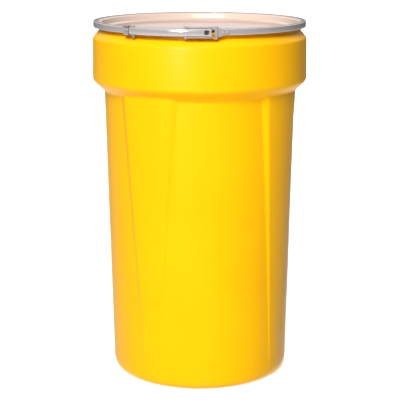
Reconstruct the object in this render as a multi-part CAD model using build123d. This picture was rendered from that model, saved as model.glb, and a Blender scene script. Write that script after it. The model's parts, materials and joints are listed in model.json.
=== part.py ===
from build123d import *
from math import cos, degrees, radians, sin, sqrt
import os

os.makedirs("parts", exist_ok=True)

# Open-head moulded plastic drum with a dished lid and a steel lever-lock closing ring.
# Frame: origin at the middle of the base, +Z up, the closing lever on the -Y side.
# Lengths are millimetres. Angles go round the drum's axis, from the front (-Y) towards +X.

# Drum body
HEIGHT = 1000.0                 # floor to the top of the closing ring
WALL = 4.5
FOOT_RADIUS = 250.8             # outside of the body, carried down to the floor
FOOT_ROUND = 24.5
PUSH_UP = 8.0                   # the base's middle stands this far off the floor
PUSH_UP_RADIUS = 190.0
BODY_TOP_RADIUS = 266.8         # outside of the panels, just under the collar
BODY_TOP_Z = 808.0
COLLAR_RADIUS = 299.2           # outside of the collar at its foot, where it is widest
COLLAR_TOP_RADIUS = 297.1
COLLAR_BOTTOM_Z = 837.0
COLLAR_TOP_Z = 954.0
SHOULDER_TOP_Z = 973.0
NECK_RADIUS = 280.5
MOUTH_RADIUS = 276.0
RIM_RADIUS = 290.0
RIM_THICKNESS = 5.8

# Raised ribs, widest and deepest under the collar, fading out at the foot
RIB_PAIR_ANGLES = (12.8, 192.8)  # the ribs stand in pairs, mirrored about these
RIB_SPREAD = 44.5
RIB_BOTTOM_Z = 30.0
RIB_TOP_Z = 846.0
RIB_CREST_TOP = 15.7            # half the crest's width in degrees, at BODY_TOP_Z
RIB_CREST_BOTTOM = 5.2          # the same, at RIB_BOTTOM_Z
RIB_DEPTH_TOP = 9.0
RIB_DEPTH_BOTTOM = 0.5
RIB_SIDE_TOP = 3.5              # degrees taken by each slanted side
RIB_SIDE_BOTTOM = 0.35

# Closing ring, a channel of sheet steel
RING_RADIUS = 295.0
RING_HEIGHT = 16.5
RING_SHEET = 1.5
RING_TOP_LIP = 13.0
RING_BOTTOM_LIP = 8.8
RING_BEND = 2.0
LEFT_END = 1.5                  # angle where the left arm of the ring ends
RIGHT_END = 9.8                 # angle where the right arm begins
REAR_HALF = 60.0                # the rear arc reaches this far each side of the ring's back

# Lid and gasket
LID_RADIUS = 290.5
LID_RIM = 4.0
LID_SHEET = 3.2
WELL_TOP_RADIUS = 271.5
WELL_DEPTH = 26.0
LEDGE_DEPTH = 17.0
LEDGE_OUTER = 266.0
LEDGE_INNER = 256.5
FLOOR_RADIUS = 253.0
GASKET_INNER = 280.5
GASKET_OUTER = 288.5
GASKET_DEPTH = 3.8
GROOVE_DEPTH = 1.2
GAP = 0.3                       # clearance between parts that come apart

# Closing lever, a channel that nests over the ring
LEVER_RADIUS = 303.2
LEVER_TIP_RADIUS = 300.7
LEVER_INNER = 291.4             # inner edge of its flanges, clear of the lid's rim
LEVER_SHEET = 1.5
LEVER_CROWN_RADIUS = 32.0       # its face swells outwards between its flanges
LEVER_HEIGHT = 20.0
LEVER_TIP_ANGLE = -37.5
LEVER_SHOULDER_ANGLE = -32.5
LEVER_END_ANGLE = 6.9
LEVER_WEB_END_ANGLE = 5.8       # its web stops short of its flanges
WINDOW_ANGLES = (2.3, 4.5)
WINDOW_HEIGHT = 11.5

# Pivots: (radius, angle)
LEVER_PIVOT = (296.9, 5.1)
LINK_PIVOT = (295.6, -6.9)
ANCHOR_PIVOT = (295.6, 8.3)
PIN_RADIUS = 2.6
RUNNING = 0.05                  # play between a pin and a bore that turns on it
HEAD_SLACK = 0.1                # play under a pin's head
LINK_SHEET = 2.5
LINK_WASHER = 1.8
LINK_INNER = 291.5
LINK_OUTER = 300.5
LINK_EASE = 0.5                 # rounding of the link plates' edges
PIN_HEAD_RADIUS = 4.2
LOW_HEAD = 1.1                  # height of the lever pivot's flat heads
TALL_HEAD = 2.2                 # height of the link's domed heads

# Brackets, rivets and the split pin
STRIP = 1.5
STRIP_MARGIN = 0.5              # a strip stops this far inside the ring's edges
PIVOT_STRIP_ANGLE = -4.6
EAR_START_ANGLE = -2.0
WEB_END_ANGLE = 4.2             # the bracket's web runs on this far behind the lever's window
EAR_RADIUS = 3.5
ANCHOR_STRIP = 1.8
ANCHOR_STRIP_ANGLE = 14.9
ANCHOR_NECK = 3.2               # the strip's narrow end stops this far inside the ring's edges
KNUCKLE_RADIUS = 4.4
KNUCKLE_GAP = 0.35              # play above and below the knuckle, and of the lever in its keeper
KEEPER_ANGLES = (-42.0, -38.6)
KEEPER_REACH_ANGLE = -34.2
KEEPER_INNER = 292.0
KEEPER_OUTER = 301.4
KEEPER_CORNER = 2.5
LOCK_RADIUS = 296.7
LOCK_ANGLE = -35.4
LOCK_HOLE = 2.4
LOCK_WIRE = 0.95
RIVET_RADIUS = 2.0
RIVET_HEAD = 3.3
RIVET_CROWN = 1.3

# Heights that follow from the above
RING_BOTTOM = HEIGHT - RING_HEIGHT
RING_MIDDLE = HEIGHT - RING_HEIGHT / 2
LID_TOP = HEIGHT - RING_SHEET - GAP
LID_UNDER = LID_TOP - LID_RIM
GASKET_TOP = LID_UNDER + GROOVE_DEPTH
RIM_TOP = GASKET_TOP - GASKET_DEPTH - GAP
RIM_BOTTOM = RIM_TOP - RIM_THICKNESS
LEVER_TOP = RING_MIDDLE + LEVER_HEIGHT / 2
LEVER_BOTTOM = RING_MIDDLE - LEVER_HEIGHT / 2
LINK_TOP_GAP = LEVER_TOP + LINK_WASHER
LINK_BOTTOM_GAP = LEVER_BOTTOM - LINK_WASHER
RING_BACK = (LEFT_END + RIGHT_END) / 2 + 180


def place(radius, angle, z=0.0):
    """The point at that radius, angle from the front and height."""
    return Vector(radius * sin(radians(angle)), -radius * cos(radians(angle)), z)


def arc_degrees(length, radius):
    """The angle that a length takes at a radius."""
    return degrees(length / radius)


def outline(*corners):
    """A closed face in the XZ plane. Each corner is (r, z) or (r, z, rounding radius)."""
    face = Plane.XZ * make_face(Polyline(*[(c[0], c[1]) for c in corners], close=True))
    for corner in corners:
        if len(corner) == 3:
            here = Vector(corner[0], 0, corner[1])
            vertex = min(face.vertices(), key=lambda v: (Vector(v) - here).length)
            face = fillet(vertex, corner[2])
    return face


def turned(*corners):
    """The solid of revolution of an outline."""
    return revolve(outline(*corners), Axis.Z)


def sector_face(inner, outer, start, end, z=0.0, spread=0.0):
    """A piece of an annulus; its inner arc is wider than its outer by spread degrees a side."""
    far = CenterArc((0, 0), outer, start - 90, end - start)
    near = CenterArc((0, 0), inner, start - spread - 90, end - start + 2 * spread)
    return Pos(0, 0, z) * make_face([far, near, Line(far @ 0, near @ 0), Line(far @ 1, near @ 1)])


def sector(inner, outer, start, end, bottom, top):
    """An upright block between two radii, two angles and two heights."""
    return extrude(sector_face(inner, outer, start, end, bottom), top - bottom, dir=(0, 0, 1))


def post(pivot, radius, bottom, top):
    """An upright cylinder at a (radius, angle) pivot."""
    return Pos(place(*pivot, (bottom + top) / 2)) * Cylinder(radius, top - bottom)


def facing(angle, radius=0.0):
    """A plane tangent to the drum: x runs round it, y is up, z is outwards."""
    return Plane(
        origin=place(radius, angle),
        x_dir=(cos(radians(angle)), sin(radians(angle)), 0),
        z_dir=(sin(radians(angle)), -cos(radians(angle)), 0),
    )


def rivet(angle, z, inner, outer):
    """A domed rivet set radially, with a thin tail inside."""
    tail = 0.8
    plane = facing(angle, inner - tail)
    back = extrude(plane * Pos(0, z) * Circle(RIVET_RADIUS + tail), tail)
    shank = extrude(plane * Pos(0, z) * Circle(RIVET_RADIUS), outer - inner + tail)
    head = extrude(facing(angle, outer) * Pos(0, z) * Circle(RIVET_HEAD), RIVET_CROWN)
    crown = head.edges().sort_by(lambda e: (e.center() - place(0, 0, z)).length)[-1]
    return back + shank + fillet(crown, 1.0)


def dome_head(pivot, radius, bottom, top, round_top):
    """A pin head with its free edge rounded."""
    head = post(pivot, radius, bottom, top)
    rim = head.edges().sort_by(Axis.Z)[-1 if round_top else 0]
    return fillet(rim, (top - bottom) * 0.75)


# ---- drum body -----------------------------------------------------------------------------
def panel_radius(z):
    """The outside radius of the recessed panels."""
    return FOOT_RADIUS + (BODY_TOP_RADIUS - FOOT_RADIUS) * z / BODY_TOP_Z


def rib_section(angle, z, inset):
    """A rib's outline at one height. The inset makes the matching hollow inside."""
    share = (z - RIB_BOTTOM_Z) / (BODY_TOP_Z - RIB_BOTTOM_Z)
    depth = RIB_DEPTH_BOTTOM + (RIB_DEPTH_TOP - RIB_DEPTH_BOTTOM) * share
    side = RIB_SIDE_BOTTOM + (RIB_SIDE_TOP - RIB_SIDE_BOTTOM) * share
    crest = RIB_CREST_BOTTOM + (RIB_CREST_TOP - RIB_CREST_BOTTOM) * share
    surface = panel_radius(z) - inset
    half = crest - arc_degrees(inset * 0.4, surface)
    root = 1.0
    return sector_face(surface - root, surface + depth, angle - half, angle + half, z, side)


def with_ribs(core, inset):
    """The core with its ribs."""
    for angle in [middle + turn for middle in RIB_PAIR_ANGLES for turn in (-RIB_SPREAD, RIB_SPREAD)]:
        low = rib_section(angle, RIB_BOTTOM_Z, inset)
        high = rib_section(angle, RIB_TOP_Z, inset)
        core += loft([low, high], ruled=True)
    return core


def make_drum_body():
    step = PUSH_UP_RADIUS + PUSH_UP
    outer = turned(
        (0, PUSH_UP),
        (PUSH_UP_RADIUS, PUSH_UP),
        (step, 0),
        (FOOT_RADIUS, 0, FOOT_ROUND),
        (BODY_TOP_RADIUS, BODY_TOP_Z, 10),
        (COLLAR_RADIUS, COLLAR_BOTTOM_Z, 13),
        (COLLAR_TOP_RADIUS, COLLAR_TOP_Z, 14),
        (NECK_RADIUS, SHOULDER_TOP_Z, 4),
        (NECK_RADIUS, RIM_BOTTOM),
        (RIM_RADIUS, RIM_BOTTOM, 1.5),
        (RIM_RADIUS, RIM_TOP, 1.5),
        (0, RIM_TOP),
    )
    cavity = turned(
        (0, PUSH_UP + WALL),
        (PUSH_UP_RADIUS, PUSH_UP + WALL),
        (step, WALL),
        (FOOT_RADIUS - WALL, WALL, FOOT_ROUND - WALL),
        (BODY_TOP_RADIUS - WALL, BODY_TOP_Z + 2, 12),
        (COLLAR_RADIUS - WALL, COLLAR_BOTTOM_Z + 2, 9),
        (COLLAR_TOP_RADIUS - WALL, COLLAR_TOP_Z - 2, 10),
        (MOUTH_RADIUS, SHOULDER_TOP_Z - 2, 6),
        (MOUTH_RADIUS, HEIGHT),
        (0, HEIGHT),
    )
    return with_ribs(outer, 0.0) - with_ribs(cavity, WALL)


# ---- lid -----------------------------------------------------------------------------------
def make_lid():
    floor = LID_TOP - WELL_DEPTH
    ledge = LID_TOP - LEDGE_DEPTH
    return turned(
        (0, floor),
        (FLOOR_RADIUS, floor, 3),
        (LEDGE_INNER, ledge - 1, 3),
        (LEDGE_OUTER, ledge, 5),
        (WELL_TOP_RADIUS, LID_TOP, 5),
        (LID_RADIUS, LID_TOP, 1.4),
        (LID_RADIUS, LID_UNDER, 0.6),
        (GASKET_OUTER + 0.1, LID_UNDER),
        (GASKET_OUTER + 0.1, GASKET_TOP),
        (GASKET_INNER - 0.1, GASKET_TOP),
        (GASKET_INNER - 0.1, LID_UNDER),
        (WELL_TOP_RADIUS + LID_SHEET, LID_UNDER, 2),
        (LEDGE_OUTER + LID_SHEET, ledge - LID_SHEET, 6),
        (LEDGE_INNER + LID_SHEET, ledge - LID_SHEET - 1, 1.5),
        (FLOOR_RADIUS + LID_SHEET, floor - LID_SHEET, 5),
        (0, floor - LID_SHEET),
    )


def make_gasket():
    bottom = GASKET_TOP - GASKET_DEPTH
    return turned(
        (GASKET_INNER, bottom, 1.5),
        (GASKET_OUTER, bottom, 1.5),
        (GASKET_OUTER, GASKET_TOP),
        (GASKET_INNER, GASKET_TOP),
    )


# ---- closing ring --------------------------------------------------------------------------
def make_hoop(start, end):
    """The ring's channel section from one angle to another."""
    inside = RING_RADIUS - RING_SHEET
    section = outline(
        (RING_RADIUS, RING_BOTTOM, RING_BEND),
        (RING_RADIUS, HEIGHT, RING_BEND),
        (RING_RADIUS - RING_TOP_LIP, HEIGHT),
        (RING_RADIUS - RING_TOP_LIP, HEIGHT - RING_SHEET),
        (inside, HEIGHT - RING_SHEET, RING_BEND - RING_SHEET),
        (inside, RING_BOTTOM + RING_SHEET, RING_BEND - RING_SHEET),
        (RING_RADIUS - RING_BOTTOM_LIP, RING_BOTTOM + RING_SHEET),
        (RING_RADIUS - RING_BOTTOM_LIP, RING_BOTTOM),
    )
    arc = revolve(Rot(0, 0, start - 90) * section, Axis.Z, revolution_arc=end - start)
    return arc


# ---- brackets ------------------------------------------------------------------------------
def make_pivot_bracket():
    """A channel on the left arm whose two ears hold the lever's pivot pin past the ring's end."""
    low = RING_BOTTOM + STRIP_MARGIN
    high = HEIGHT - STRIP_MARGIN
    outer = LEVER_PIVOT[0] + EAR_RADIUS
    inner = LEVER_PIVOT[0] - EAR_RADIUS
    past_end = LEFT_END + 0.1
    bracket = sector(RING_RADIUS, RING_RADIUS + STRIP, PIVOT_STRIP_ANGLE, WEB_END_ANGLE, low, high)
    for bottom in (low, high - STRIP):
        top = bottom + STRIP
        bracket += sector(RING_RADIUS, outer, EAR_START_ANGLE, past_end, bottom, top)
        bracket += sector(inner, outer, past_end, LEVER_PIVOT[1], bottom, top)
        bracket += post(LEVER_PIVOT, EAR_RADIUS, bottom, top)
    return bracket - post(LEVER_PIVOT, PIN_RADIUS, low - 1, high + 1)


def make_anchor_bracket():
    """A strip on the right arm, rolled at its end into the knuckle of the anchor pin."""
    low = LINK_BOTTOM_GAP + KNUCKLE_GAP
    high = LINK_TOP_GAP - KNUCKLE_GAP
    middle = (ANCHOR_PIVOT[1] + ANCHOR_STRIP_ANGLE) / 2
    reach = radians(ANCHOR_STRIP_ANGLE - ANCHOR_PIVOT[1]) / 2 * RING_RADIUS + 0.5
    plate = sector(RING_RADIUS, RING_RADIUS + ANCHOR_STRIP, ANCHOR_PIVOT[1],
                   ANCHOR_STRIP_ANGLE, low, high)
    shape = make_face(Polyline(
        (-reach, low),
        (-reach * 0.45, low),
        (reach * 0.5, RING_BOTTOM + ANCHOR_NECK),
        (reach, RING_BOTTOM + ANCHOR_NECK),
        (reach, HEIGHT - ANCHOR_NECK),
        (reach * 0.2, HEIGHT - ANCHOR_NECK),
        (-reach * 0.45, high),
        (-reach, high),
        close=True,
    ))
    shape = fillet(shape.vertices().sort_by(Axis.X)[-2:], 3)
    plate &= extrude(facing(middle, RING_RADIUS - 6) * shape, 20)
    plate += post(ANCHOR_PIVOT, KNUCKLE_RADIUS, low, high)
    return plate - post(ANCHOR_PIVOT, PIN_RADIUS, low - 1, high + 1)


def make_keeper():
    """A clip on the left arm with a tab over and under the lever's tip for the split pin."""
    start, end = KEEPER_ANGLES
    low = LEVER_BOTTOM - KNUCKLE_GAP
    high = LEVER_TOP + KNUCKLE_GAP
    keeper = sector(RING_RADIUS, RING_RADIUS + STRIP, start, end, low - STRIP, high + STRIP)
    tab_start = start + arc_degrees(2.0, RING_RADIUS)
    for bottom in (low - STRIP, high):
        top = bottom + STRIP
        tab = sector(KEEPER_INNER, KEEPER_OUTER, tab_start, KEEPER_REACH_ANGLE, bottom, top)
        keeper += fillet(tab.edges().filter_by(Axis.Z), KEEPER_CORNER)
    return keeper - post((LOCK_RADIUS, LOCK_ANGLE), LOCK_HOLE, low - 5, high + 5)


# ---- lever and link ------------------------------------------------------------------------
def lever_edge(radius, inset=0.0):
    """Where the swelling face, with that radius at mid height, meets a flange."""
    crown = LEVER_CROWN_RADIUS - inset
    half = LEVER_HEIGHT / 2 - inset
    return radius - inset - crown + sqrt(crown ** 2 - half ** 2)


def lever_block(radius, start, end, inset=0.0, inner=LEVER_INNER):
    """A length of the lever's outside, or of its hollow when inset."""
    low, high = LEVER_BOTTOM + inset, LEVER_TOP - inset
    edge = lever_edge(radius, inset)
    wall = ThreePointArc((edge, low), (radius - inset, RING_MIDDLE), (edge, high))
    back = Polyline((edge, high), (inner, high), (inner, low), (edge, low))
    section = Rot(0, 0, start - 90) * (Plane.XZ * make_face([wall, back]))
    return revolve(section, Axis.Z, revolution_arc=end - start)


def make_lever():
    bottom, top = LEVER_BOTTOM, LEVER_TOP
    behind = LEVER_INNER - 5
    side = arc_degrees(LEVER_SHEET, LEVER_RADIUS)
    lever = lever_block(LEVER_RADIUS, LEVER_SHOULDER_ANGLE, LEVER_END_ANGLE)
    lever += lever_block(LEVER_TIP_RADIUS, LEVER_TIP_ANGLE, LEVER_SHOULDER_ANGLE)
    upright = lever.edges().filter_by(Axis.Z)
    ends = [e for e in upright if e.center().Y < -LEVER_INNER * 0.9 and e.center().X > 30]
    inner_ends = [e for e in ends if Vector(e.center().X, e.center().Y).length < LEVER_INNER + 1]
    lever = fillet(inner_ends, 5.0)
    outer_edges = (lever_edge(LEVER_RADIUS), lever_edge(LEVER_TIP_RADIUS))
    arcs = lever.edges().filter_by(GeomType.CIRCLE)
    lever = fillet([e for e in arcs if min(abs(e.radius - r) for r in outer_edges) < 0.01], 1.2)
    lever -= lever_block(LEVER_RADIUS, LEVER_SHOULDER_ANGLE + side, LEVER_END_ANGLE + 2,
                         LEVER_SHEET, behind)
    lever -= lever_block(LEVER_TIP_RADIUS, LEVER_TIP_ANGLE + side, LEVER_SHOULDER_ANGLE + 1,
                         LEVER_SHEET, behind)
    lever -= sector(behind, RING_RADIUS + 0.8, LEVER_TIP_ANGLE - 1,
                    LEVER_TIP_ANGLE + 1, bottom + LEVER_SHEET, top - LEVER_SHEET)
    middle = sum(WINDOW_ANGLES) / 2
    width = radians(WINDOW_ANGLES[1] - WINDOW_ANGLES[0]) * LEVER_RADIUS
    window = fillet(Rectangle(width, WINDOW_HEIGHT).vertices(), 1.5)
    lever -= extrude(facing(middle, LEVER_RADIUS - 5) * Pos(0, RING_MIDDLE) * window, 10)
    flange = LEVER_SHEET + 0.5
    lever -= sector(LEVER_RADIUS - 6, LEVER_RADIUS + 1, LEVER_WEB_END_ANGLE,
                    LEVER_END_ANGLE + 1, bottom + flange, top - flange)
    lever -= post(LEVER_PIVOT, PIN_RADIUS + RUNNING, bottom - 1, top + 1)
    lever -= post(LINK_PIVOT, PIN_RADIUS, bottom - 1, top + 1)
    lever -= post((LOCK_RADIUS, LOCK_ANGLE), LOCK_HOLE, bottom - 1, top + 1)
    return lever


def make_lever_pivot_pin():
    low = LEVER_BOTTOM - HEAD_SLACK
    high = LEVER_TOP + HEAD_SLACK
    pin = post(LEVER_PIVOT, PIN_RADIUS, low, high)
    pin += dome_head(LEVER_PIVOT, PIN_HEAD_RADIUS, high, high + LOW_HEAD, True)
    pin += dome_head(LEVER_PIVOT, PIN_HEAD_RADIUS, low - LOW_HEAD, low, False)
    return pin


def make_link(bottom):
    """One link plate, curved with the ring, from the link pivot to the anchor pivot."""
    top = bottom + LINK_SHEET
    half = (LINK_OUTER - LINK_INNER) / 2
    plate = sector(LINK_INNER, LINK_OUTER, LINK_PIVOT[1], ANCHOR_PIVOT[1], bottom, top)
    for pivot in (LINK_PIVOT, ANCHOR_PIVOT):
        plate += post(((LINK_INNER + LINK_OUTER) / 2, pivot[1]), half, bottom, top)
    faces = plate.faces().filter_by(Axis.Z)
    plate = fillet([edge for face in faces for edge in face.edges()], LINK_EASE)
    plate -= post(LINK_PIVOT, PIN_RADIUS + RUNNING, bottom - 1, top + 1)
    plate -= post(ANCHOR_PIVOT, PIN_RADIUS, bottom - 1, top + 1)
    return plate


def make_link_pins():
    """Two rivets, one in each flange of the lever, that carry the link plates."""
    high = LINK_TOP_GAP + LINK_SHEET + HEAD_SLACK
    low = LINK_BOTTOM_GAP - LINK_SHEET - HEAD_SLACK
    upper = post(LINK_PIVOT, PIN_RADIUS, LEVER_TOP - LEVER_SHEET, high)
    upper += dome_head(LINK_PIVOT, PIN_HEAD_RADIUS, high, high + TALL_HEAD, True)
    lower = post(LINK_PIVOT, PIN_RADIUS, low, LEVER_BOTTOM + LEVER_SHEET)
    lower += dome_head(LINK_PIVOT, PIN_HEAD_RADIUS, low - TALL_HEAD, low, False)
    return Compound(children=[upper.solid(), lower.solid()])


def make_link_washers():
    upper = post(LINK_PIVOT, PIN_HEAD_RADIUS, LEVER_TOP, LINK_TOP_GAP - RUNNING)
    upper -= post(LINK_PIVOT, PIN_RADIUS, LEVER_TOP - 1, LINK_TOP_GAP + 1)
    lower = post(LINK_PIVOT, PIN_HEAD_RADIUS, LINK_BOTTOM_GAP + RUNNING, LEVER_BOTTOM)
    lower -= post(LINK_PIVOT, PIN_RADIUS, LINK_BOTTOM_GAP - 1, LEVER_BOTTOM + 1)
    return Compound(children=[upper.solid(), lower.solid()])


def make_anchor_pin():
    low = LINK_BOTTOM_GAP + KNUCKLE_GAP
    high = LINK_TOP_GAP - KNUCKLE_GAP
    return post(ANCHOR_PIVOT, PIN_RADIUS, low, high)


def make_anchor_pin_heads():
    high = LINK_TOP_GAP + LINK_SHEET
    low = LINK_BOTTOM_GAP - LINK_SHEET
    upper = post(ANCHOR_PIVOT, PIN_RADIUS, LINK_TOP_GAP, high)
    upper += dome_head(ANCHOR_PIVOT, PIN_HEAD_RADIUS, high, high + TALL_HEAD, True)
    lower = post(ANCHOR_PIVOT, PIN_RADIUS, low, LINK_BOTTOM_GAP)
    lower += dome_head(ANCHOR_PIVOT, PIN_HEAD_RADIUS, low - TALL_HEAD, low, False)
    return Compound(children=[upper.solid(), lower.solid()])


def make_locking_pin():
    """A split pin: one round wire, doubled, with an eye above and two spread legs below."""
    leg = LOCK_WIRE + 0.05
    eye = LEVER_TOP + 2.6
    foot = LEVER_BOTTOM - 4.5
    path = FilletPolyline(
        (-leg - 3.2, foot - 5.5),
        (-leg, foot),
        (-leg, eye),
        (-leg - 2.0, eye + 2.8),
        (0, eye + 6.6),
        (leg + 2.0, eye + 2.8),
        (leg, eye),
        (leg, foot),
        (leg + 4.0, foot - 3.8),
        radius=[1.6, 1.6, 1.8, 1.8, 1.8, 1.6, 1.6],
    )
    wire = facing(LOCK_ANGLE, LOCK_RADIUS) * path
    return sweep(Plane(origin=wire @ 0, z_dir=wire % 0) * Circle(LOCK_WIRE), path=wire)


# ---- assembly ------------------------------------------------------------------------------
hoop_inside = RING_RADIUS - RING_SHEET
strip_face = RING_RADIUS + STRIP
pivot_rivets = [rivet(a, RING_MIDDLE, hoop_inside, strip_face) for a in (-3.6, -2.2)]
keeper_rivets = [rivet(a, RING_MIDDLE, hoop_inside, strip_face) for a in (-41.1, -39.5)]
anchor_face = RING_RADIUS + ANCHOR_STRIP
anchor_rivets = [rivet(a, RING_MIDDLE, hoop_inside, anchor_face) for a in (11.7, 13.9)]

nodes = {
    "drum_body": make_drum_body(),
    "lid": make_lid(),
    "lid_gasket": make_gasket(),
    "closing_ring_rear": make_hoop(RING_BACK - REAR_HALF, RING_BACK + REAR_HALF),
    "closing_ring_left": make_hoop(RING_BACK + REAR_HALF - 360, LEFT_END),
    "closing_ring_right": make_hoop(RIGHT_END, RING_BACK - REAR_HALF),
    "pivot_bracket": make_pivot_bracket(),
    "pivot_bracket_rivets": Compound(children=[r.solid() for r in pivot_rivets]),
    "lever_pivot_pin": make_lever_pivot_pin(),
    "anchor_bracket": make_anchor_bracket(),
    "anchor_bracket_rivets": Compound(children=[r.solid() for r in anchor_rivets]),
    "anchor_pin": make_anchor_pin(),
    "lever": make_lever(),
    "link_upper": make_link(LINK_TOP_GAP),
    "link_lower": make_link(LINK_BOTTOM_GAP - LINK_SHEET),
    "link_pins": make_link_pins(),
    "link_washers": make_link_washers(),
    "anchor_pin_heads": make_anchor_pin_heads(),
    "keeper_bracket": make_keeper(),
    "keeper_rivets": Compound(children=[r.solid() for r in keeper_rivets]),
    "locking_pin": make_locking_pin(),
}

for riveted in pivot_rivets + keeper_rivets:
    nodes["closing_ring_left"] -= riveted
for riveted in pivot_rivets:
    nodes["pivot_bracket"] -= riveted
for riveted in keeper_rivets:
    nodes["keeper_bracket"] -= riveted
for riveted in anchor_rivets:
    nodes["closing_ring_right"] -= riveted
    nodes["anchor_bracket"] -= riveted

for name, shape in nodes.items():
    export_step(shape, f"parts/{name}.step")
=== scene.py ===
import json
import math
import bpy
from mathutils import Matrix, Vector, noise


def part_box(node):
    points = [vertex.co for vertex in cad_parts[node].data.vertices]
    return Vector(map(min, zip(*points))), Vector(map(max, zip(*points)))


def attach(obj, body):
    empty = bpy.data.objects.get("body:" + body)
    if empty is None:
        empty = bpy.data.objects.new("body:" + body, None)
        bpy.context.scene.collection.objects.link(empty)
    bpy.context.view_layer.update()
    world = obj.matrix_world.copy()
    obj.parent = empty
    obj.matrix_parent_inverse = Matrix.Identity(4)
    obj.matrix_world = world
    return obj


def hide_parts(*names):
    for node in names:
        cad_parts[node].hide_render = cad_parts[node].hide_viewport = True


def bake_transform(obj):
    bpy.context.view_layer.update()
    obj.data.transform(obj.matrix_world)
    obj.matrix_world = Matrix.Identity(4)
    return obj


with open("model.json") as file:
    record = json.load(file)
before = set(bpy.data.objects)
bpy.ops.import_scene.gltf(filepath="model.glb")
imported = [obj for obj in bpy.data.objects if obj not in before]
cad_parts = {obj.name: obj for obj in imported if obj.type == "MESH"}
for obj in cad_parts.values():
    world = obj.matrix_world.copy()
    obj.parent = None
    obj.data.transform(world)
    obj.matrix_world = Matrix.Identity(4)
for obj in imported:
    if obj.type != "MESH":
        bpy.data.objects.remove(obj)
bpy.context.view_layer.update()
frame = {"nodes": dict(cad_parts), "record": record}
nodes = frame["nodes"]

# Sizes are metres. Angles are degrees round the drum's axis, from the front (-Y) towards +X.
MM = 0.001
drum_low, drum_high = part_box("drum_body")
lid_low, lid_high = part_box("lid")
ring_low, ring_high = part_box("closing_ring_rear")

# Drum body: what the frame gives, then its wall, steps and ribs
COLLAR_RADIUS = drum_high.x
RIM_TOP = drum_high.z
WALL = 4.5 * MM
RIPPLE = 0.3 * MM               # slow waviness of the moulded wall
FOOT_RADIUS = COLLAR_RADIUS - 48.4 * MM
FOOT_ROUND = 24.5 * MM
PUSH_UP = 8 * MM
PUSH_UP_RADIUS = 190 * MM
BODY_TOP_RADIUS = COLLAR_RADIUS - 32.4 * MM
BODY_TOP_Z = 808 * MM
COLLAR_TOP_RADIUS = COLLAR_RADIUS - 2.1 * MM
COLLAR_BOTTOM_Z = 837 * MM
COLLAR_TOP_Z = 954 * MM
SHOULDER_TOP_Z = 973 * MM
NECK_RADIUS = 280.5 * MM
MOUTH_RADIUS = 276 * MM
RIM_RADIUS = 290 * MM
RIM_THICKNESS = 5.8 * MM
RIB_PAIR_ANGLES = (12.8, 192.8)  # the ribs stand in pairs, mirrored about these
RIB_SPREAD = 44.5
RIB_BOTTOM_Z = 30 * MM
RIB_CRESTS = (5.2, 15.7)        # half widths in degrees, at the bottom and under the collar
RIB_SIDES = (0.35, 3.5)         # degrees taken by each slanted side
RIB_DEPTHS = (0.5 * MM, 9 * MM)
RIB_TAPER = 1.5                 # above 1, a rib deepens mostly near its top

# Closing ring
RING_RADIUS = 295 * MM
RING_SHEET = 1.5 * MM
RING_TOP_LIP = 13 * MM
RING_BOTTOM_LIP = 8.8 * MM
RING_BEND = 2 * MM
RIM_CLEARANCE = 0.15 * MM       # between the drum's rim and the lip under it
RING_BOTTOM = ring_low.z
RING_TOP = ring_high.z
PIVOT = (26.4 * MM, -295.7 * MM)
LEFT_END = 1.5
RIGHT_END = 9.8
RING_BACK = (LEFT_END + RIGHT_END) / 2 + 180

# Lid
LID_TOP = lid_high.z
LID_RADIUS = lid_high.x
LID_RIM = 4 * MM
LID_SHEET = 3.2 * MM
WELL_TOP_RADIUS = LID_RADIUS - 19 * MM
WELL_DEPTH = LID_TOP - lid_low.z - LID_SHEET
LEDGE_DEPTH = 17 * MM
LEDGE_OUTER = 266 * MM
LEDGE_INNER = 256.5 * MM
FLOOR_RADIUS = 253 * MM


# ---- mesh helpers --------------------------------------------------------------------------
def at(radius, angle, z):
    a = math.radians(angle)
    return Vector((radius * math.sin(a), -radius * math.cos(a), z))


def rounded(corners, steps=6):
    """Points along a line through (r, z) corners; a third number rounds that corner."""
    points = []
    for i, corner in enumerate(corners):
        here = Vector(corner[:2])
        if len(corner) < 3:
            points.append(here)
            continue
        to_last = (Vector(corners[i - 1][:2]) - here).normalized()
        to_next = (Vector(corners[(i + 1) % len(corners)][:2]) - here).normalized()
        half = to_last.angle(to_next) / 2
        centre = here + (to_last + to_next).normalized() * corner[2] / math.sin(half)
        start = here + to_last * corner[2] / math.tan(half) - centre
        sweep = math.pi - 2 * half
        if start.x * to_next.y - start.y * to_next.x < 0:
            sweep = -sweep
        for step in range(steps + 1):
            a = sweep * step / steps
            c, s = math.cos(a), math.sin(a)
            points.append(centre + Vector((start.x * c - start.y * s, start.x * s + start.y * c)))
    return points


def new_mesh(name, points, faces, sharp=40.0):
    mesh = bpy.data.meshes.new(name)
    mesh.from_pydata([tuple(p) for p in points], [], faces)
    mesh.validate()
    piece = bpy.data.objects.new(name, mesh)
    bpy.context.scene.collection.objects.link(piece)
    bpy.context.view_layer.objects.active = piece
    piece.select_set(True)
    bpy.ops.object.mode_set(mode="EDIT")
    bpy.ops.mesh.select_all(action="SELECT")
    bpy.ops.mesh.normals_make_consistent(inside=False)
    bpy.ops.object.mode_set(mode="OBJECT")
    bpy.ops.object.shade_smooth_by_angle(angle=math.radians(sharp))
    piece.select_set(False)
    return piece


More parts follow.
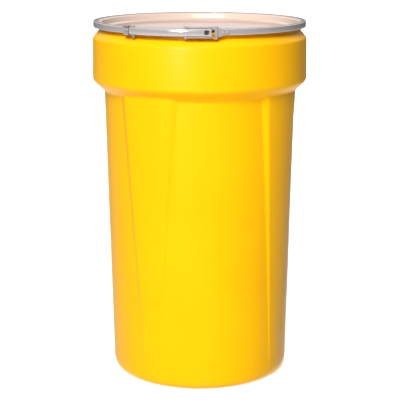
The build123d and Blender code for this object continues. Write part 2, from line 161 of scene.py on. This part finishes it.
def skin(name, rows, sharp=40.0, loop_rows=False, poles=False, caps=False):
    """A closed mesh over rings of points. Poles closes each end row to one point."""
    count = len(rows[0])
    points = [p for row in rows for p in row]
    faces = []
    pairs = len(rows) if loop_rows else len(rows) - 1
    for i in range(pairs):
        a, b = i * count, ((i + 1) % len(rows)) * count
        for j in range(count):
            k = (j + 1) % count
            faces.append((a + j, a + k, b + k, b + j))
    if poles:
        for row, base in ((rows[0], 0), (rows[-1], (len(rows) - 1) * count)):
            centre = len(points)
            points.append(sum(row, Vector()) / count)
            faces += [(base + j, base + (j + 1) % count, centre) for j in range(count)]
    if caps:
        faces.append(tuple(range(count)))
        faces.append(tuple(range((len(rows) - 1) * count, len(rows) * count)))
    return new_mesh(name, points, faces, sharp)


# ---- drum body -----------------------------------------------------------------------------
SIDE_STRAIGHT = 0.7             # a rib's side is straight up to this share of its width
SIDE_END = 2 - SIDE_STRAIGHT    # and its rounding reaches this far, onto the crest


def mix(pair, share):
    return pair[0] + (pair[1] - pair[0]) * share


def smooth_step(t):
    t = min(max(t, 0.0), 1.0)
    return t * t * (3 - 2 * t)


def smooth_max(a, b, k):
    h = max(k - abs(a - b), 0.0) / k
    return max(a, b) + h * h * k / 4


def smooth_min(a, b, k):
    return -smooth_max(-a, -b, k)


def rib_share(z):
    return min(max((z - RIB_BOTTOM_Z) / (BODY_TOP_Z - RIB_BOTTOM_Z), 0.0), 1.05)


def side_rise(t):
    """Height of a rib's side: straight from a sharp foot at 0, rounded over the crest's edge."""
    u = max(t - SIDE_STRAIGHT, 0.0)
    return min(t, SIDE_STRAIGHT) + u - u * u / (4 * (1 - SIDE_STRAIGHT))


def rib_columns(z):
    """Angles round the drum at a height, each with how far up a rib's side it is."""
    share = rib_share(z)
    crest = mix(RIB_CRESTS, share)
    side = mix(RIB_SIDES, share ** RIB_TAPER)
    side_steps = [SIDE_END * (i / 12) ** 1.3 for i in range(12)]
    columns = []
    for middle in RIB_PAIR_ANGLES:
        for turn, start, end in ((-1, -90, 0), (1, 0, 90)):
            rib = middle + turn * RIB_SPREAD
            foot = crest + side
            low, high = rib - foot, rib + foot
            flat = foot - SIDE_END * side
            columns += [(middle + start + (low - middle - start) * i / 16, 0.0) for i in range(16)]
            columns += [(low + side * t, side_rise(t)) for t in side_steps]
            columns += [(rib - flat + 2 * flat * i / 20, 1.0) for i in range(20)]
            columns += [(high - side * t, side_rise(t))
                        for t in [SIDE_END] + side_steps[:0:-1]]
            columns += [(high + (middle + end - high) * i / 16, 0.0) for i in range(16)]
    return columns


def body_radius(z, raised):
    """Outside radius of the body and the collar's underside."""
    panel = FOOT_RADIUS + (BODY_TOP_RADIUS - FOOT_RADIUS) * z / BODY_TOP_Z
    depth = mix(RIB_DEPTHS, rib_share(z) ** RIB_TAPER) * smooth_step(z / (3 * RIB_BOTTOM_Z))
    slope = (COLLAR_RADIUS - BODY_TOP_RADIUS) / (COLLAR_BOTTOM_Z - BODY_TOP_Z)
    underside = COLLAR_RADIUS - (COLLAR_BOTTOM_Z - z) * slope
    radius = smooth_max(panel + depth * raised, underside, 5 * MM)
    share = (z - COLLAR_BOTTOM_Z) / (COLLAR_TOP_Z - COLLAR_BOTTOM_Z)
    collar = mix((COLLAR_RADIUS, COLLAR_TOP_RADIUS), share)
    return smooth_min(radius, collar, 9 * MM)


def body_heights():
    low = [FOOT_ROUND + (780 * MM - FOOT_ROUND) * i / 44 for i in range(45)]
    fine = [784 * MM + 1.6 * MM * i for i in range(46)]
    return low + fine


def make_drum():
    step = PUSH_UP_RADIUS + PUSH_UP

    def ring(point):
        return [at(point.x, angle, point.y) for angle, _ in rib_columns(point.y)]

    def body_row(z, inset):
        return [at(body_radius(z, raised) - inset, angle, z) for angle, raised in rib_columns(z)]

    under = rounded([(20 * MM, PUSH_UP), (PUSH_UP_RADIUS, PUSH_UP, 4 * MM), (step, 0, 4 * MM),
                     (FOOT_RADIUS, 0, FOOT_ROUND), (FOOT_RADIUS, 60 * MM)], 10)[:-1]
    rows = [ring(p) for p in under[:-1]]
    rows += [body_row(z, 0.0) for z in body_heights()]
    top = rounded([
        (body_radius(870 * MM, 0.0), 870 * MM), (COLLAR_TOP_RADIUS, COLLAR_TOP_Z, 14 * MM),
        (NECK_RADIUS, SHOULDER_TOP_Z, 5 * MM), (NECK_RADIUS, RIM_TOP - RIM_THICKNESS, 0.8 * MM),
        (RIM_RADIUS, RIM_TOP - RIM_THICKNESS, 1.5 * MM), (RIM_RADIUS, RIM_TOP, 1.5 * MM),
        (MOUTH_RADIUS, RIM_TOP, 1.5 * MM), (MOUTH_RADIUS, SHOULDER_TOP_Z - 2 * MM, 6 * MM),
        (COLLAR_TOP_RADIUS - WALL, COLLAR_TOP_Z - 2 * MM, 10 * MM),
        (body_radius(870 * MM, 0.0) - WALL, 870 * MM)], 8)
    rows += [ring(p) for p in top]
    rows += [body_row(z, WALL) for z in reversed(body_heights())]
    inner_foot = FOOT_RADIUS - WALL
    inside = rounded([(inner_foot, 60 * MM), (inner_foot, WALL, FOOT_ROUND - WALL),
                      (step, WALL, 4 * MM), (PUSH_UP_RADIUS, PUSH_UP + WALL, 4 * MM),
                      (20 * MM, PUSH_UP + WALL)], 10)[2:]
    rows += [ring(p) for p in inside]
    drum = skin("drum_shell", rows, 50.0, poles=True)
    for vertex in drum.data.vertices:
        out = Vector((vertex.co.x, vertex.co.y, 0))
        if out.length > 0.24 and 0.03 < vertex.co.z < SHOULDER_TOP_Z:
            vertex.co += out.normalized() * RIPPLE * noise.noise(vertex.co * 9)
    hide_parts("drum_body")
    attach(drum, "drum")
    return drum


# ---- lid -----------------------------------------------------------------------------------
def make_lid():
    floor = LID_TOP - WELL_DEPTH
    ledge = LID_TOP - LEDGE_DEPTH
    under = LID_TOP - LID_RIM
    line = rounded([
        (15 * MM, floor + 1.2 * MM), (FLOOR_RADIUS - 60 * MM, floor), (FLOOR_RADIUS, floor, 3.5 * MM),
        (LEDGE_INNER, ledge - 1 * MM, 3 * MM), (LEDGE_OUTER, ledge, 5 * MM),
        (WELL_TOP_RADIUS, LID_TOP, 5 * MM), (LID_RADIUS, LID_TOP, 1.4 * MM),
        (LID_RADIUS, under, 0.8 * MM), (WELL_TOP_RADIUS + LID_SHEET, under, 2 * MM),
        (LEDGE_OUTER + LID_SHEET, ledge - LID_SHEET, 6 * MM),
        (LEDGE_INNER + LID_SHEET, ledge - LID_SHEET - 1 * MM, 1.5 * MM),
        (FLOOR_RADIUS + LID_SHEET, lid_low.z, 5 * MM), (15 * MM, lid_low.z)], 8)
    rows = [[at(p.x, angle, p.y) for angle in range(0, 360, 2)] for p in line]
    lid = skin("lid_shell", rows, 50.0, poles=True)
    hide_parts("lid")
    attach(lid, "lid")
    return lid


# ---- closing ring --------------------------------------------------------------------------
def ring_section():
    inside = RING_RADIUS - RING_SHEET
    bend = RING_BEND - RING_SHEET
    top_edge = RING_RADIUS - RING_TOP_LIP
    bottom_edge = RING_RADIUS - RING_BOTTOM_LIP
    edge = 0.4 * MM
    lip_top = RING_BOTTOM + RING_SHEET - RIM_CLEARANCE
    return rounded([
        (RING_RADIUS, RING_BOTTOM, RING_BEND), (RING_RADIUS, RING_TOP, RING_BEND),
        (top_edge, RING_TOP, edge), (top_edge, RING_TOP - RING_SHEET, edge),
        (inside, RING_TOP - RING_SHEET, bend), (inside, lip_top, bend),
        (bottom_edge, lip_top, edge), (bottom_edge, RING_BOTTOM, edge)], 5)


def make_hoop_half(name, start, side, replaced):
    """Half of the hoop, from its front end to the back."""
    end = RING_BACK if side > 0 else RING_BACK - 360
    count = 130
    rows = []
    for i in range(count + 1):
        angle = start + (end - start) * i / count
        rows.append([at(p.x, angle, p.y) for p in ring_section()])
    hoop = skin(name, rows, 40.0, caps=True)
    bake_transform(hoop)
    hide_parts(*replaced)
    return hoop


# ---- materials -----------------------------------------------------------------------------
class Finish:
    """A node material being built, with its shader and object coordinates at hand."""

    def __init__(self, name, roughness=0.4, metallic=0.0, specular=0.5):
        self.material = bpy.data.materials.new(name)
        self.material.use_nodes = True
        self.tree = self.material.node_tree
        self.shader = self.tree.nodes["Principled BSDF"]
        self.shader.inputs["Metallic"].default_value = metallic
        self.shader.inputs["Roughness"].default_value = roughness
        self.shader.inputs["Specular IOR Level"].default_value = specular
        self.coordinates = self.add("ShaderNodeTexCoord").outputs["Object"]
        self.normal = None

    def add(self, kind, **inputs):
        node = self.tree.nodes.new(kind)
        for name, value in inputs.items():
            self.join(value, node.inputs[name.replace("_", " ")])
        return node

    def join(self, value, socket):
        if isinstance(value, bpy.types.NodeSocket):
            self.tree.links.new(value, socket)
        else:
            socket.default_value = value

    def noise(self, scale, detail=2.0, roughness=0.5, where=None):
        node = self.add("ShaderNodeTexNoise", Scale=scale, Detail=detail, Roughness=roughness)
        self.join(where or self.coordinates, node.inputs["Vector"])
        return node.outputs["Fac"]

    def cells(self, scale, where=None):
        node = self.add("ShaderNodeTexVoronoi", Scale=scale)
        self.join(where or self.coordinates, node.inputs["Vector"])
        return node.outputs["Color"]

    def math(self, operation, a, b=0.0):
        node = self.add("ShaderNodeMath")
        node.operation = operation
        self.join(a, node.inputs[0])
        self.join(b, node.inputs[1])
        return node.outputs[0]

    def spread(self, value, from_low, from_high, to_low, to_high):
        node = self.add("ShaderNodeMapRange", Value=value)
        for name, number in (("From Min", from_low), ("From Max", from_high),
                             ("To Min", to_low), ("To Max", to_high)):
            node.inputs[name].default_value = number
        return node.outputs[0]

    def blend(self, share, first, second):
        node = self.add("ShaderNodeMix")
        node.data_type = "RGBA"
        self.join(share, node.inputs["Factor"])
        colours = [i for i in node.inputs if i.type == "RGBA"]
        self.join(first, colours[0])
        self.join(second, colours[1])
        return [o for o in node.outputs if o.type == "RGBA"][0]

    def bump(self, height, strength, distance):
        node = self.add("ShaderNodeBump", Height=height)
        node.inputs["Strength"].default_value = strength
        node.inputs["Distance"].default_value = distance
        if self.normal:
            self.join(self.normal, node.inputs["Normal"])
        self.normal = node.outputs[0]

    def length(self, values):
        return self.math("SQRT", self.math("ADD", *[self.math("MULTIPLY", v, v) for v in values]))

    def round_the_drum(self, along, across):
        """Coordinates that run round the drum, up it and outwards, stretched by two scales."""
        split = self.add("ShaderNodeSeparateXYZ", Vector=self.coordinates)
        angle = self.math("ARCTAN2", split.outputs[0], split.outputs[1])
        radius = self.length(split.outputs[:2])
        joined = self.add("ShaderNodeCombineXYZ")
        for i, (value, scale) in enumerate(((angle, along), (split.outputs[2], across),
                                            (radius, across))):
            self.join(self.math("MULTIPLY", value, scale), joined.inputs[i])
        return joined.outputs[0]

    def done(self, colour, roughness=None):
        self.join(colour, self.shader.inputs["Base Color"])
        if roughness is not None:
            self.join(roughness, self.shader.inputs["Roughness"])
        if self.normal:
            self.join(self.normal, self.shader.inputs["Normal"])
        return self.material


def drum_finish():
    """Blow-moulded polythene: faint flow clouds, a fine grain and scuffs low on the body."""
    f = Finish("drum_yellow_polythene", specular=0.11)
    clouds = f.noise(5.0, 4.0, 0.55)
    base = f.blend(f.spread(clouds, 0.3, 0.7, 0, 1),
                   (0.94, 0.455, 0.001, 1), (0.96, 0.482, 0.0015, 1))
    speck = f.spread(f.noise(420.0, 2.0), 0.62, 0.78, 0.0, 0.25)
    base = f.blend(speck, base, (0.85, 0.38, 0.004, 1))
    height = f.add("ShaderNodeSeparateXYZ", Vector=f.coordinates).outputs[2]
    low = f.spread(height, 0.0, 0.035, 1.0, 0.0)
    rubbed = f.math("MULTIPLY", low, f.spread(f.noise(70.0, 6.0, 0.7), 0.45, 0.7, 0.0, 0.55))
    base = f.blend(rubbed, base, (0.62, 0.42, 0.05, 1))
    lines = f.noise(1.0, 3.0, 0.6, f.round_the_drum(6.0, 260.0))
    f.bump(f.noise(3.5, 2.0), 0.25, 0.004)
    f.bump(f.noise(950.0, 3.0, 0.6), 0.22, 0.00035)
    f.bump(lines, 0.06, 0.0004)
    rough = f.spread(f.noise(28.0, 5.0, 0.65), 0.3, 0.7, 0.30, 0.40)
    return f.done(base, f.math("ADD", rough, f.math("MULTIPLY", rubbed, 0.3)))


def lid_finish():
    """Glossy moulded plastic, greyer and darker on the well's floor, with a painted shade in the
    corner round it.
    """
    f = Finish("lid_peach_plastic", specular=0.5)
    clouds = f.spread(f.noise(6.0, 3.0), 0.3, 0.7, 0, 1)
    base = f.blend(clouds, (0.55, 0.420, 0.345, 1), (0.56, 0.430, 0.355, 1))
    # Greyer and darker below the well's floor line.
    floor_tone = f.blend(clouds, (0.47, 0.385, 0.365, 1), (0.48, 0.395, 0.375, 1))
    split = f.add("ShaderNodeSeparateXYZ", Vector=f.coordinates).outputs
    depth = f.math("SUBTRACT", LID_TOP, split[2])
    base = f.blend(f.spread(depth, WELL_DEPTH - 6 * MM, WELL_DEPTH - 1 * MM, 0, 1), base, floor_tone)
    # Painted shade: a dark line in the corner round the floor, standing in for the crease's shadow.
    off_corner = f.math("ABSOLUTE", f.math("SUBTRACT", f.length(split[:2]), FLOOR_RADIUS + 1 * MM))
    painted_corner_shade = f.math("MULTIPLY", f.spread(off_corner, 2 * MM, 8 * MM, 0.6, 0.0),
                  f.spread(depth, LEDGE_DEPTH, LEDGE_DEPTH + 4 * MM, 0.0, 1.0))
    base = f.blend(painted_corner_shade, base, (0.36, 0.22, 0.16, 1))
    base = f.blend(f.spread(f.noise(300.0, 2.0), 0.66, 0.8, 0, 0.3), base, (0.46, 0.35, 0.30, 1))
    f.bump(f.noise(700.0, 2.0), 0.1, 0.0003)
    return f.done(base, f.spread(f.noise(9.0, 3.0), 0.3, 0.7, 0.20, 0.26))


def ring_finish(name="galvanised_sheet", shade_painter=None):
    """Galvanised sheet: zinc crystals, rolling lines, a dull patchy bloom and, where asked, a painted
    shade.
    """
    f = Finish(name, metallic=0.35, specular=0.5)
    base = f.blend(f.cells(210.0), (0.42, 0.385, 0.38, 1), (0.46, 0.425, 0.42, 1))
    bloom = f.spread(f.noise(30.0, 5.0, 0.6), 0.45, 0.75, 0.0, 0.6)
    base = f.blend(bloom, base, (0.50, 0.465, 0.46, 1))
    lines = f.noise(1.0, 4.0, 0.6, f.round_the_drum(9.0, 900.0))
    f.bump(lines, 0.08, 0.0003)
    rough = f.math("ADD", f.spread(lines, 0.3, 0.7, 0.09, 0.13), f.math("MULTIPLY", bloom, 0.10))
    # Painted shade: near black, rougher and less metallic under the mask, standing in for shadow in
    # gaps and hollows.
    if shade_painter:
        painted_shade_mask = shade_painter(f, f.add("ShaderNodeSeparateXYZ", Vector=f.coordinates).outputs)
        base = f.blend(painted_shade_mask, base, (0.035, 0.024, 0.02, 1))
        rough = f.math("ADD", rough, f.math("MULTIPLY", painted_shade_mask, 0.35))
        f.join(f.spread(painted_shade_mask, 0.0, 1.0, 0.35, 0.0), f.shader.inputs["Metallic"])
    return f.done(base, rough)


# Painted shade round the pivot: a near-black patch in place of the deep shadow seen behind the lever's
# window.
def painted_shade_at_pivot(f, split):
    aside = [f.math("SUBTRACT", split[i], PIVOT[i]) for i in (0, 1)]
    far = f.math("ADD", f.length(aside), f.spread(f.noise(160.0, 3.0), 0.3, 0.7, -0.002, 0.002))
    return f.spread(far, 0.018, 0.024, 1.0, 0.0)


def painted_shade_under_links(f, split):
    """Painted shade along the lever's top and bottom, as far as the link plates reach: the shadowed
    slots between lever and plates.
    """
    low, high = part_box("lever")
    off_middle = f.math("ABSOLUTE", f.math("SUBTRACT", split[2], (low.z + high.z) / 2))
    edge = (high.z - low.z) / 2
    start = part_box("link_upper")[0].x
    return f.math("MULTIPLY", f.spread(off_middle, edge - 1.1 * MM, edge - 0.5 * MM, 0.0, 1.0),
                  f.spread(split[0], start, start + 8 * MM, 0.0, 1.0))


def painted_shade_beside_tip(f, split):
    """A painted line of shade on the keeper where the lever's tip closes against it, standing in for
    the gap's shadow.
    """
    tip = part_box("lever")[0].x
    return f.spread(f.math("ABSOLUTE", f.math("SUBTRACT", split[0], tip)), 1.5 * MM, 3 * MM, 1.0, 0.0)


def pin_finish():
    """Dull zinc plate with fine turning marks and small dull specks."""
    f = Finish("zinc_plate", metallic=0.6)
    base = f.blend(f.spread(f.noise(260.0, 3.0), 0.35, 0.65, 0, 1),
                   (0.33, 0.31, 0.30, 1), (0.42, 0.395, 0.385, 1))
    base = f.blend(f.spread(f.noise(900.0, 2.0), 0.68, 0.8, 0, 0.5), base, (0.22, 0.20, 0.19, 1))
    f.bump(f.noise(1400.0, 3.0), 0.15, 0.0002)
    return f.done(base, f.spread(f.noise(180.0, 3.0), 0.3, 0.7, 0.36, 0.48))


def gasket_finish():
    """Black foam rubber with an open grain."""
    f = Finish("gasket_rubber", specular=0.3)
    base = f.blend(f.noise(220.0, 4.0), (0.012, 0.012, 0.013, 1), (0.035, 0.034, 0.033, 1))
    f.bump(f.noise(1100.0, 4.0, 0.7), 0.5, 0.0005)
    return f.done(base, f.spread(f.noise(90.0, 3.0), 0.3, 0.7, 0.65, 0.85))


def dress(piece, material):
    piece.data.materials.clear()
    piece.data.materials.append(material)


# ---- stage ---------------------------------------------------------------------------------
CAMERA_PLACE = (0.001, -3.316, 1.272)
CAMERA_PITCH = 0.2332           # radians below level
LENS = 106.43                   # millimetres
SENSOR = 36.0

# Strength of the world where it lights matt faces, and where it is mirrored well off level
WORLD = 0.18
WALLS = 1.6
HORIZON = 0.15                  # mirrored strength near level
HORIZON_EDGES = (0.08, 0.5)     # the sine of the angle off level where it starts and stops rising

# Suns: azimuth, elevation, strength in watts per square metre, and width in degrees
SUNS = {"overhead": (0, 88, 0.5, 50), "front": (-15, 35, 3.1, 30),
        "bounce": (-8, -66, 2.1, 34), "back": (180, 30, 2.6, 50)}
STRIP_WATTS = 60
KEY_WATTS = 95
FLOOR_GLOW = 0.2                # fades the drum's cast shadow
FLOOR_HALF = 60.0


def floor_finish():
    f = Finish("pale_floor", specular=0.2)
    base = f.blend(f.noise(0.8, 3.0), (0.90, 0.90, 0.90, 1), (0.93, 0.93, 0.93, 1))
    f.bump(f.noise(60.0, 3.0), 0.05, 0.001)
    f.shader.inputs["Emission Color"].default_value = (1, 1, 1, 1)
    f.shader.inputs["Emission Strength"].default_value = FLOOR_GLOW
    return f.done(base, f.spread(f.noise(3.0, 2.0), 0.3, 0.7, 0.6, 0.7))


def make_floor():
    corners = [(x * FLOOR_HALF, y * FLOOR_HALF, 0) for x, y in ((-1, -1), (1, -1), (1, 1), (-1, 1))]
    mesh = bpy.data.meshes.new("floor")
    mesh.from_pydata(corners, [], [(0, 1, 2, 3)])
    floor = bpy.data.objects.new("floor", mesh)
    bpy.context.scene.collection.objects.link(floor)
    dress(floor, floor_finish())
    floor.visible_diffuse = False
    floor.visible_glossy = False
    floor.visible_shadow = False    # lets the bounce light, which comes from below, reach the drum


def make_camera():
    """Just above the drum's top, looking slightly down with a long lens."""
    camera = bpy.data.objects.new("camera", bpy.data.cameras.new("camera"))
    bpy.context.scene.collection.objects.link(camera)
    camera.location = CAMERA_PLACE
    camera.rotation_euler = (math.pi / 2 - CAMERA_PITCH, 0, 0)
    camera.data.lens = LENS
    camera.data.sensor_width = SENSOR
    bpy.context.scene.camera = camera


def softbox(name, azimuth, distance, z, width, height, watts, aim_z, lights_matt=True):
    """A rectangular lamp that faces a point on the drum's axis."""
    light = bpy.data.lights.new(name, "AREA")
    light.shape = "RECTANGLE"
    light.size = width
    light.size_y = height
    light.energy = watts
    piece = bpy.data.objects.new(name, light)
    piece.location = at(distance, azimuth, z)
    piece.rotation_euler = (Vector((0, 0, aim_z)) - piece.location).to_track_quat("-Z", "Y").to_euler()
    piece.visible_diffuse = lights_matt
    bpy.context.scene.collection.objects.link(piece)


def broad_sun(name, azimuth, elevation, strength, spread):
    """Soft light from a wide patch of sky."""
    light = bpy.data.lights.new(name, "SUN")
    light.energy = strength
    light.angle = math.radians(spread)
    piece = bpy.data.objects.new(name, light)
    away = at(1.0, azimuth, math.tan(math.radians(elevation)))
    piece.rotation_euler = (-away).to_track_quat("-Z", "Y").to_euler()
    piece.visible_glossy = False
    bpy.context.scene.collection.objects.link(piece)


def make_world():
    """White studio walls: white to the camera, dim on matt faces, dark near level in mirrors."""
    world = bpy.data.worlds.new("world")
    bpy.context.scene.world = world
    world.use_nodes = True
    tree = world.node_tree
    background = tree.nodes["Background"]
    background.inputs["Color"].default_value = (1.0, 1.0, 1.0, 1)
    path = tree.nodes.new("ShaderNodeLightPath")
    split = tree.nodes.new("ShaderNodeSeparateXYZ")
    off_level = tree.nodes.new("ShaderNodeMath")
    off_level.operation = "ABSOLUTE"
    walls = tree.nodes.new("ShaderNodeMapRange")
    tree.links.new(tree.nodes.new("ShaderNodeTexCoord").outputs["Generated"], split.inputs[0])
    tree.links.new(split.outputs[2], off_level.inputs[0])
    tree.links.new(off_level.outputs[0], walls.inputs["Value"])
    for name, number in (("From Min", HORIZON_EDGES[0]), ("From Max", HORIZON_EDGES[1]),
                         ("To Min", HORIZON), ("To Max", WALLS)):
        walls.inputs[name].default_value = number
    total = None
    for ray, strength in (("Is Camera Ray", 1.0), ("Is Diffuse Ray", WORLD),
                          ("Is Glossy Ray", walls.outputs[0])):
        share = tree.nodes.new("ShaderNodeMath")
        share.operation = "MULTIPLY_ADD"
        tree.links.new(path.outputs[ray], share.inputs[0])
        for value, socket in ((strength, share.inputs[1]), (total or 0.0, share.inputs[2])):
            if isinstance(value, bpy.types.NodeSocket):
                tree.links.new(value, socket)
            else:
                socket.default_value = value
        total = share.outputs[0]
    tree.links.new(total, background.inputs["Strength"])


def make_lights():
    make_world()
    for name, (azimuth, elevation, strength, spread) in SUNS.items():
        broad_sun(name, azimuth, elevation, strength, spread)
    softbox("strip", -12, 2.8, 3.0, 2.2, 0.35, STRIP_WATTS, 0.8)
    softbox("key", -20, 3.3, 1.5, 0.30, 0.36, KEY_WATTS, 1.0, lights_matt=False)


make_camera()
make_lights()
make_floor()
yellow = drum_finish()
peach = lid_finish()
zinc = ring_finish()
plate = pin_finish()
rubber = gasket_finish()

dress(make_drum(), yellow)
dress(make_lid(), peach)
left = ["closing_ring_left", "closing_ring_rear"]
dress(make_hoop_half("closing_hoop_left", LEFT_END, -1, left), zinc)
dress(make_hoop_half("closing_hoop_right", RIGHT_END, 1, ["closing_ring_right"]), zinc)
finishes = {"drum_plastic": yellow, "lid_plastic": peach, "ring_steel": zinc, "pin_steel": plate,
            "gasket_rubber": rubber}
for part in frame["record"]["subparts"]:
    dress(nodes[part["node"]], finishes[part["material_slot"]])
# These pieces get a painted shade: in the pivot's hollow, the lever's slots and the keeper's gap.
for node, shade_painter in (("pivot_bracket", painted_shade_at_pivot), ("lever", painted_shade_under_links),
                     ("keeper_bracket", painted_shade_beside_tip)):
    dress(nodes[node], ring_finish("painted_shade_on_" + node, shade_painter))

bpy.context.scene.view_settings.view_transform = "Standard"
